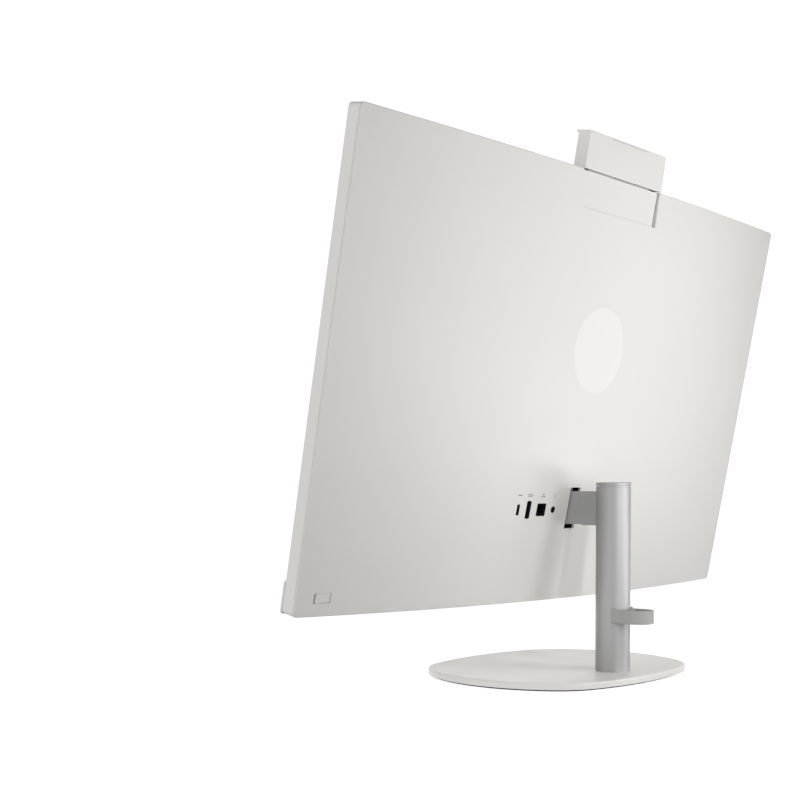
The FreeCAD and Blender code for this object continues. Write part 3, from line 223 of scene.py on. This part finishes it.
def prism(bm, outline, low, high):
    """Closed prism over an outline of (x, z) points; low and high give its depths at a point."""
    bottom = [bm.verts.new(head_point(x, low(x, z), z)) for x, z in outline]
    top = [bm.verts.new(head_point(x, high(x, z), z)) for x, z in outline]
    count = len(outline)
    for k in range(count):
        after = (k + 1) % count
        bm.faces.new((bottom[k], bottom[after], top[after], top[k]))
    bm.faces.new(bottom)
    bm.faces.new(top)


def rounded_outline(x0, x1, z0, z1, radius, steps=6):
    """Rectangle with rounded corners, as (x, z) points."""
    points = []
    corners = ((x1 - radius, z1 - radius, 0), (x0 + radius, z1 - radius, 90),
               (x0 + radius, z0 + radius, 180), (x1 - radius, z0 + radius, 270))
    for cx, cz, start in corners:
        for k in range(steps + 1):
            turn = math.radians(start + 90.0 * k / steps)
            points.append((cx + radius * math.cos(turn), cz + radius * math.sin(turn)))
    return points


def circle(x, z, radius, count=20):
    turns = [2.0 * math.pi * k / count for k in range(count)]
    return [(x + radius * math.cos(t), z + radius * math.sin(t)) for t in turns]


def bar(x0, x1, z0, z1):
    return [(x0, z0), (x1, z0), (x1, z1), (x0, z1)]


# Lit area of the screen, over the black border of the panel
SCREEN_HALF = 298.8
SCREEN_LOW = 26.0
SCREEN_TOP = 362.2
SCREEN_CORNER_R = 1.0
SCREEN_SINK = 0.1
SCREEN_PROUD = 0.06
panel_face = (extent("display_panel", HEAD_BACK)[0] - HEAD_FRONT) / MM
bm = bmesh.new()
prism(bm, rounded_outline(-SCREEN_HALF, SCREEN_HALF, SCREEN_LOW, SCREEN_TOP, SCREEN_CORNER_R),
      lambda x, z: panel_face + SCREEN_SINK, lambda x, z: panel_face - SCREEN_PROUD)
add_mesh("screen_area", bm, ACTIVE_AREA)

# Thin black sleeves lining the socket openings in the rear cover: painted shade, a dark lining put where the
# openings' own white walls fall into shadow
LINER_GAP = 0.04
LINER_T = 0.22
LINER_TOP = 0.15
LINER_END = COVER_WALL - 0.05
# Mouth width, mouth height and x of each socket, then the radius and x of the round ones
SOCKETS = [(3.2, 9.0, 78.0), (5.5, 15.0, 64.0), (11.9, 10.6, 46.0)] + [(5.2, 13.2, x) for x in USB_A_X]
ROUND_SOCKETS = [(2.7, 29.0), (2.2, -86.0)]
ROUND_STEPS = 28


def sleeve(bm, outer, inner):
    """Closed ring wall between two matching outlines, through most of the cover's thickness."""
    rows = []
    for outline, depth in ((outer, LINER_TOP), (inner, LINER_TOP), (inner, LINER_END),
                           (outer, LINER_END)):
        rows.append([bm.verts.new(head_point(x, cover_depth(x, z) - depth, z)) for x, z in outline])
    count = len(outer)
    for r in range(4):
        near, far = rows[r], rows[(r + 1) % 4]
        for k in range(count):
            after = (k + 1) % count
            bm.faces.new((near[k], near[after], far[after], far[k]))


bm = bmesh.new()
for width, height, socket_x in SOCKETS:
    half_w = width / 2 + PORT_MARGIN - LINER_GAP
    half_h = height / 2 + PORT_MARGIN - LINER_GAP
    corner = min(1.2, width / 2 + PORT_MARGIN - 0.3)
    outlines = []
    for inset in (0.0, LINER_T):
        across = half_w - inset
        upward = half_h - inset
        outlines.append(rounded_outline(socket_x - across, socket_x + across, PORT_Z - upward,
                                        PORT_Z + upward, corner - inset))
    sleeve(bm, outlines[0], outlines[1])
for radius, socket_x in ROUND_SOCKETS:
    radius += PORT_MARGIN - LINER_GAP
    sleeve(bm, circle(socket_x, PORT_Z, radius, ROUND_STEPS),
           circle(socket_x, PORT_Z, radius - LINER_T, ROUND_STEPS))
add_mesh("socket_shade_sleeves", bm, LOOKS["port_black"])

# Small plain marks printed over the rear sockets, their heights measured from MARK_Z
MARK_Z = PORT_Z + 12.3
MARK_SINK = 0.1
MARK_PROUD = 0.03
MARKS = [bar(75.6, 78.8, 0.0, 0.8), circle(79.9, 0.4, 0.7),
         bar(61.4, 67.2, -0.6, -0.1), bar(61.4, 67.2, 0.9, 1.4), bar(61.4, 61.9, -0.1, 0.9),
         bar(66.7, 67.2, -0.1, 0.9),
         circle(46.0, 1.2, 0.8), circle(44.6, -0.7, 0.8), circle(47.4, -0.7, 0.8),
         bar(28.8, 29.2, -0.8, 1.6), circle(29.0, -1.2, 0.5),
         circle(-86.0, 0.4, 0.9)]
for socket_x in USB_A_X:
    MARKS.append(bar(socket_x - 1.6, socket_x + 1.6, 0.0, 0.8))
bm = bmesh.new()
for outline in MARKS:
    raised = [(x, z + MARK_Z) for x, z in outline]
    prism(bm, raised, lambda x, z: cover_depth(x, z) - MARK_SINK,
          lambda x, z: cover_depth(x, z) + MARK_PROUD)
add_mesh("socket_marks", bm, MARK_INK)


# ---------------------------------------------------------------- floor, light, camera
def glow(mat, strength):
    """A little light of its own, so that the paper-white stage stays even."""
    shader = mat.node_tree.nodes["Principled BSDF"]
    shader.inputs["Emission Color"].default_value = (1.0, 1.0, 1.0, 1.0)
    shader.inputs["Emission Strength"].default_value = strength
    return mat


FLOOR = glow(finish_material("floor_pale", (0.90, 0.90, 0.90), 0.7, 300.0, 1e-5, mottle=0.003), 0.62)
BACKDROP = glow(finish_material("backdrop_pale", (0.0, 0.0, 0.0), 1.0, 3.0, 1e-5, specular=0.0), 1.08)


def set_stage(name, mat):
    """Name and paint the newest object; it throws no light or shade on the object."""
    piece = bpy.context.active_object
    piece.name = name
    piece.data.materials.append(mat)
    piece.visible_diffuse = False
    piece.visible_glossy = False
    piece.visible_shadow = False
    return piece


bpy.ops.mesh.primitive_plane_add(size=60.0, location=(0.0, 0.0, cad_low.z))
floor = set_stage("floor", FLOOR)
bpy.ops.mesh.primitive_uv_sphere_add(segments=48, ring_count=24, radius=25.0, location=(0.0, 0.0, 0.0))
backdrop = set_stage("backdrop", BACKDROP)
backdrop.visible_transmission = False


def soft_light(name, place, target, width, height, power):
    """Rectangular lamp at a place, aimed at a target; metres and watts."""
    data = bpy.data.lights.new(name, "AREA")
    data.shape = "RECTANGLE"
    data.size = width
    data.size_y = height
    data.energy = power
    lamp = bpy.data.objects.new(name, data)
    bpy.context.scene.collection.objects.link(lamp)
    lamp.location = place
    lamp.rotation_mode = "QUATERNION"
    lamp.rotation_quaternion = (Vector(target) - Vector(place)).to_track_quat("-Z", "Y")


soft_light("rear_strip", (-0.12, 0.45, 0.30), (-0.05, 0.05, 0.30), 0.15, 0.5, 0.98)
soft_light("rear_low", (-0.30, 0.50, 0.15), (-0.10, 0.05, 0.25), 0.4, 0.3, 0.32)
soft_light("rear_floor", (-0.45, 0.45, 0.05), (-0.15, 0.0, 0.20), 0.3, 0.1, 0.69)
soft_light("column_key", (0.25, 0.75, 0.25), (0.0, 0.06, 0.12), 0.1, 0.5, 1.92)

# The studio's white cards: direction, where the glow starts and ends, and its strength.
# A start or end is the cosine of the angle from the direction.
AMBIENT = 0.12
CARDS = (((-0.74, -0.67, 0.0), 0.55, 0.85, 1.37), ((1.0, -0.2, 0.0), 0.2, 0.9, 1.06))


def studio_world():
    """Soft surround: a low even level with a few broad white cards added to it."""
    world = bpy.data.worlds.new("studio")
    world.use_nodes = True
    tree = world.node_tree
    where = tree.nodes.new("ShaderNodeTexCoord")
    total = None
    for direction, start, end, strength in CARDS:
        facing = tree.nodes.new("ShaderNodeVectorMath")
        facing.operation = "DOT_PRODUCT"
        facing.inputs[1].default_value = Vector(direction).normalized()
        link(tree, where, "Generated", facing, 0)
        level = tree.nodes.new("ShaderNodeMapRange")
        level.interpolation_type = "SMOOTHSTEP"
        level.inputs["From Min"].default_value = start
        level.inputs["From Max"].default_value = end
        level.inputs["To Max"].default_value = strength
        link(tree, facing, "Value", level, "Value")
        add = tree.nodes.new("ShaderNodeMath")
        if total is None:
            add.inputs[0].default_value = AMBIENT
        else:
            link(tree, total, "Value", add, 0)
        link(tree, level, "Result", add, 1)
        total = add
    back = tree.nodes["Background"]
    link(tree, total, "Value", back, "Strength")
    back.inputs["Color"].default_value = (1.0, 1.0, 1.0, 1.0)
    return world


bpy.context.scene.world = studio_world()
bpy.context.scene.view_settings.view_transform = "Standard"
bpy.context.scene.view_settings.look = "None"

camera_data = bpy.data.cameras.new("camera")
camera_data.sensor_width = 36.0
camera_data.lens = 57.78
camera_data.shift_y = 0.176
camera_data.clip_end = 100.0
camera = bpy.data.objects.new("camera", camera_data)
bpy.context.scene.collection.objects.link(camera)
camera.location = (0.9499, 0.6750, 0.1602)
VIEW_TURN = math.radians(-47.56)
VIEW_DIP = math.radians(-2.06)
ahead = Vector((math.sin(VIEW_TURN) * math.cos(VIEW_DIP),
                -math.cos(VIEW_TURN) * math.cos(VIEW_DIP), math.sin(VIEW_DIP)))
camera.rotation_mode = "QUATERNION"
camera.rotation_quaternion = ahead.to_track_quat("-Z", "Y")
bpy.context.scene.camera = camera
